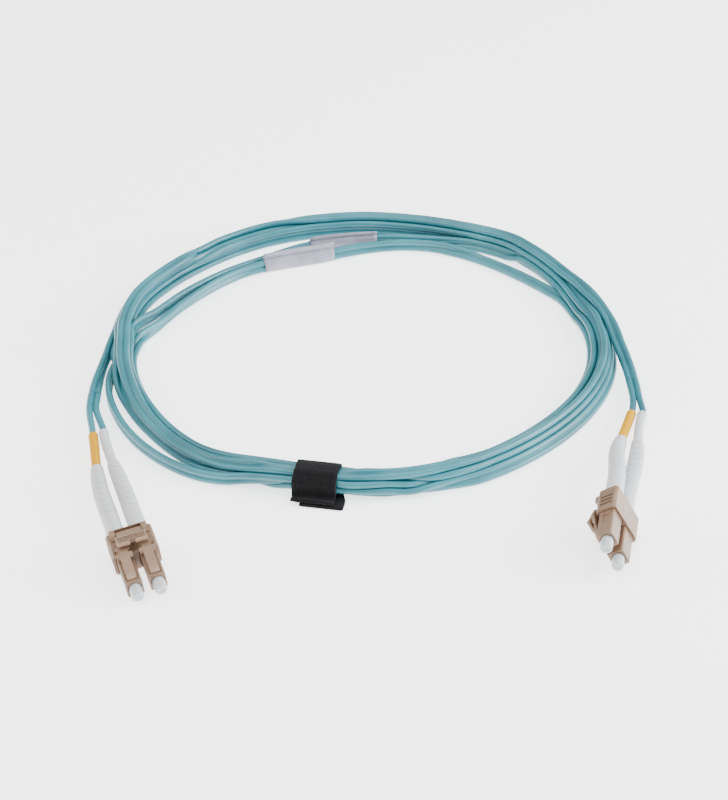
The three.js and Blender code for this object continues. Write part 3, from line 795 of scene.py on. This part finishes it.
def ferrule_shape(px):
    prof = [(0, -2.3), (0.2, -2.3), (0.36, -2.285), (0.44, -2.27), (0.5, -2.2), (0.6, -2.04), (0.625, -1.95), (0.625, 0), (0.625, 1.6), (0.625, 3.2), (0.6, 3.25), (0, 3.25)]
    v, f = revolve(prof, 40, closed=False)
    v[:, 0] += px
    return v, f


boots = []
for tag in "ab":
    colors = (SLEEVE_Y, SLEEVE_W) if tag == "a" else (SLEEVE_W, SLEEVE_Y)
    for n, side in ((1, -1), (2, 1)):
        i = f"{tag}{n}"
        px = side * PITCH / 2
        v, f = ribbed_boot(tag, side)
        o = make(f"{i}_strain_relief", world(tag, v), f, BOOT)
        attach(o, "root")
        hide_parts(f"{i}_boot")
        boots.append(o)
        v, f = marker(tag, side)
        o = make(f"{i}_id_sleeve", world(tag, v), f, colors[n - 1])
        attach(o, "root")
        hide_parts(f"{i}_marker_sleeve")
        v, f = dust_cap(px)
        o = make(f"{i}_cap", world(tag, v), f, CAP)
        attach(o, f"cap_{i}")
        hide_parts(f"{i}_dust_cap")
        v, f = ferrule_shape(px)
        o = make(f"{i}_ferrule_tip", world(tag, v), f, ZIRCONIA)
        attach(o, f"ferrule_{i}")
        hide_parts(f"{i}_ferrule")


# ------------------------------------------------------------------ hook-and-loop tie
def polar(deg, r, z=0.0):
    return np.array([r * math.cos(math.radians(deg)) + COIL_C[0], r * math.sin(math.radians(deg)) + COIL_C[1], z])


tie_c = polar(TIE_DEG, 72.5)
tie_rad = np.array([math.cos(math.radians(TIE_DEG)), math.sin(math.radians(TIE_DEG)), 0.0])      # outward
tie_tan = np.array([-tie_rad[1], tie_rad[0], 0.0])                                           # along the bundle, to the right
TIE_W = 12.4
TIE_T = 0.85


def bundle_hull(n=120, grow=0.12):
    """Outline of the bundle under the tie, as (radial, up) about its middle, from the strands' circles."""
    off = np.abs(((th_ - TIE_DEG + 180) % 360) - 180)
    pts = X_[off <= 5.5].reshape(-1, 2) - np.array([72.5 - RM, 0.0])
    a = np.arange(n) / n * 2 * np.pi
    d = np.stack([np.cos(a), np.sin(a)], -1)
    # support function of the circles gives the taut outline
    h = (pts @ d.T).max(0) + RS + grow
    dh = (np.roll(h, -1) - np.roll(h, 1)) / (2 * 2 * np.pi / n)
    p = np.stack([h * np.cos(a) - dh * np.sin(a), h * np.sin(a) + dh * np.cos(a)], -1)
    return p


HULL = bundle_hull()


def resample(P, step, closed=False):
    P = np.asarray(P, float)
    if closed:
        P = np.concatenate([P, P[:1]])
    s = np.concatenate([[0], np.cumsum(np.linalg.norm(np.diff(P, axis=0), axis=1))])
    n = max(2, int(round(s[-1] / step)) + 1)
    t = np.linspace(0, s[-1], n)
    return np.stack([np.interp(t, s, P[:, k]) for k in range(P.shape[1])], -1), s[-1]


def offset_line(P, d):
    T = np.gradient(P, axis=0)
    T /= np.linalg.norm(T, axis=1, keepdims=True)
    N = np.stack([T[:, 1], -T[:, 0]], -1)
    return P + N * d


def hull_at(deg, out):
    """Point on the bundle's outline with the normal at deg, moved out by out mm."""
    a = math.radians(deg)
    i = (deg % 360) / 3.0
    i0 = int(i) % 120
    p = HULL[i0] * (1 - (i - int(i))) + HULL[(i0 + 1) % 120] * (i - int(i))
    return p + np.array([math.cos(a), math.sin(a)]) * out


# The strap's middle line as seen along the bundle: (radial outward, up). It starts as a tail lying out on the
# floor, passes under the bundle, up the inner side, over the top, down the outer side and ends pressed on the
# tail, its own end turned outward.
half = TIE_T / 2 + 0.02
zf = TIE_T / 2 + 0.1
under = [hull_at(deg, half) for deg in np.arange(-92, -264, -4.0)]          # bottom, inner side, towards the top
over = [hull_at(deg, half) for deg in np.arange(-264, -372, -4.0)]          # top and the outer side down
x1 = max(p[0] for p in over)
low = under[0]
tail_ = [(x1 + 3.5, zf + 0.05), (x1 + 2.7, zf), (x1 + 1.6, zf), (x1 + 0.3, zf), (x1 - 1.2, zf), (low[0] + 1.6, zf)]
end_ = over[-1]
down_ = [(end_[0] + 0.0, min(end_[1], 3.2)), (x1 + 0.1, 2.45), (x1 + 0.5, 1.98), (x1 + 1.2, zf + TIE_T + 0.16), (x1 + 2.1, zf + TIE_T + 0.12), (x1 + 3.1, zf + TIE_T + 0.3)]
down_ = [p for p in down_ if p[1] < end_[1] - 0.3]
line = [np.array(p) for p in tail_] + under + over + [np.array(p) for p in down_]
LINE, LINE_LEN = resample(catmull(np.array(line), 3), 0.42)
LINE[:, 1] = np.maximum(LINE[:, 1], zf)


def strap(line2, width, t, mat, name, drift):
    """Closed slab along a line in the tie's cross-section plane, with slightly uneven cut edges; drift is the
    strap's sideways run at each point."""
    rng = np.random.default_rng(5)
    m = len(line2)
    T = np.gradient(line2, axis=0)
    T /= np.linalg.norm(T, axis=1, keepdims=True)
    N = np.stack([T[:, 1], -T[:, 0]], -1)
    cols = 22
    e0 = 0.10 * noise1(rng, m, 6)
    e1 = 0.10 * noise1(rng, m, 6)
    nz = [0.05 * noise1(rng, m, 3) for _ in range(cols + 1)]
    top, bot = [], []
    for i in range(m):
        w0, w1 = -width / 2 + e0[i] + drift[i], width / 2 + e1[i] + drift[i]
        u = np.linspace(0, 1, cols + 1)
        along = w0 + (w1 - w0) * u
        edge = 1 - 0.35 * (np.abs(2 * u - 1) ** 14)
        pu = np.array([nz[j][i] for j in range(cols + 1)])
        a = line2[i][None, :] + N[i][None, :] * (0.5 * t * edge + pu * edge)[:, None]
        b = line2[i][None, :] - N[i][None, :] * (0.5 * t * edge)[:, None]
        a[:, 1] = np.maximum(a[:, 1], 0.03)
        b[:, 1] = np.maximum(b[:, 1], 0.03)
        top.append(tie_c + a[:, :1] * tie_rad + along[:, None] * tie_tan + a[:, 1:] * np.array([0, 0, 1.0]))
        bot.append(tie_c + b[:, :1] * tie_rad + along[:, None] * tie_tan + b[:, 1:] * np.array([0, 0, 1.0]))
    secs = [np.concatenate([top[i], bot[i][::-1]]) for i in range(m)]
    v, f = rings(secs)
    return make(name, v, f, mat)


# the lower end leaves a little to the right of the wrap
along_ = np.linspace(0, LINE_LEN, len(LINE))
drift_ = 2.5 * (1 - smooth01((along_ - 3.0) / 9.0)) + np.interp(along_, [0, LINE_LEN], [0.1, -0.1])
tie = strap(LINE, TIE_W, TIE_T, TIE, "hook_loop_tie", drift_)
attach(tie, "root")
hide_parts("tie_strap")
print("tie line mm", LINE_LEN, "z", LINE[:, 1].min(), LINE[:, 1].max(), "r", LINE[:, 0].min(), LINE[:, 0].max())


# ------------------------------------------------------------------ labels wrapped round the two loose turns
def label(name, turn, mid_deg, length, node, flag_up):
    """Film wrapped round both strands of the zip, its ends pressed together as a short flag."""
    psi_mid = 360.0 * turn + (180.0 - mid_deg)
    s_fine = mid                                        # centreline, in mm
    ang = np.degrees(np.arctan2(mid[:, 1] - COIL_C[1], mid[:, 0] - COIL_C[0]))
    lo = len(legs["a", 1]) * SUB
    # fine index of the coil's station psi
    j = (psi_mid - (180.0 - TH_A)) / STEP
    c = int(round(lo + j * SUB))
    span = [i for i in range(c - 40, c + 41) if abs(run[i] - run[c]) <= length / 2]
    secs, core = [], []
    rng = np.random.default_rng(int(mid_deg))
    wob = 0.09 * noise1(rng, len(span), 5)
    wob2 = 0.06 * noise1(rng, len(span), 3)
    n = 40
    for q, i in enumerate(span):
        w = fine[i, 0] - fine[i, 1]
        if w[2] < 0:
            w = -w
        h = np.linalg.norm(w) / 2
        w = w / (2 * h)
        t = T_[i]
        nrm = np.cross(t, w)
        nrm /= np.linalg.norm(nrm)
        # racetrack outline just outside the strands, thick film
        out = []
        R = RS + 0.24
        for kx in range(n):
            a = 2 * np.pi * kx / n
            cx = h * (1 if math.cos(a) >= 0 else -1) * min(1.0, abs(math.cos(a)) * 3)
            out.append((cx + R * math.cos(a) + 0.0, (R + wob2[q]) * math.sin(a)))
        out = np.array(out)
        secs.append(np.array([mid[i] + x * w + y * nrm for x, y in out]))
        core.append((mid[i], w, nrm, h))
    inner = []
    for (m0, w, nrm, h), sec_ in zip(core, secs):
        d = sec_ - m0
        L = np.linalg.norm(d, axis=1, keepdims=True)
        inner.append(m0 + d * (L - 0.14) / L)
    v, f = rings(secs + inner[::-1], closed=True, caps=False)
    # flag: two film layers pressed together, standing from the top of the wrap
    fl = []
    for q, (m0, w, nrm, h) in enumerate(core):
        up = w
        base = m0 + up * (h + RS + 0.2)
        lean = 0.35 * nrm
        tall = flag_up * (1 + 0.02 * wob[q])
        dirn = up * 0.9 + lean
        dirn /= np.linalg.norm(dirn)
        side = np.cross(T_[span[q]], dirn)
        rows = np.linspace(-0.5, tall, 6)
        curl = 0.10 * wob[q]
        L_ = [base + dirn * rr + side * (0.16 + curl * (rr / tall) ** 2) for rr in rows]
        R_ = [base + dirn * rr + side * (-0.16 + curl * (rr / tall) ** 2) for rr in rows[::-1]]
        fl.append(np.array(L_ + R_))
    v2, f2 = rings(fl)
    f = list(f) + [tuple(k + len(v) for k in ff) for ff in f2]
    v = np.concatenate([v, v2])
    o = make(name, v, f, FILM)
    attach(o, "root")
    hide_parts(node)
    print(name, "centre", mid[c], "angle", ang[c], "radius", np.hypot(*(mid[c] - COIL_C)[:2]))
    return o


label("wrap_label_1", 2, 112.0, 25.0, "label_1", 2.2)
label("wrap_label_2", 4, 96.4, 25.0, "label_2", 2.0)


# ------------------------------------------------------------------ carried-over CAD nodes
def dress(node, mat, width=0.00012, segments=2, angle=32):
    o = bpy.data.objects[node] if node in bpy.data.objects else frame["nodes"][node]
    o.data.materials.clear()
    o.data.materials.append(mat)
    if width:
        b = o.modifiers.new("edges", "BEVEL")
        b.width = width
        b.segments = segments
        b.limit_method = "ANGLE"
        b.angle_limit = math.radians(angle)
        b.use_clamp_overlap = True
        b.harden_normals = False
        for p in o.data.polygons:
            p.use_smooth = True
        w = o.modifiers.new("normals", "WEIGHTED_NORMAL")
        w.keep_sharp = False
    return o


for tag in "ab":
    dress(f"{tag}_duplex_clip", BEIGE_DARK, 0.00022, 3)
    dress(f"{tag}_trigger", BEIGE, 0.00014, 2)
    for n in (1, 2):
        i = f"{tag}{n}"
        dress(f"{i}_plug_housing", BEIGE, 0.00013, 2)
        dress(f"{i}_latch_lever", BEIGE, 0.0001, 2)
        dress(f"{i}_ferrule_flange", NICKEL, 0.00006, 2)
        dress(f"{i}_spring", STEEL, 0)
        dress(f"{i}_buffered_fiber", BUFFER, 0)
        dress(f"{i}_rear_body", NICKEL, 0.00006, 2)
        dress(f"{i}_crimp_sleeve", NICKEL, 0.00004, 1)

# ------------------------------------------------------------------ floor
fl = bpy.data.meshes.new("floor")
S_ = 6.0
fl.from_pydata([(-S_, -S_, -0.00002), (S_, -S_, -0.00002), (S_, S_, -0.00002), (-S_, S_, -0.00002)], [], [(0, 1, 2, 3)])
fl.materials.append(floor_mat())
floor = bpy.data.objects.new("floor", fl)
scene.collection.objects.link(floor)
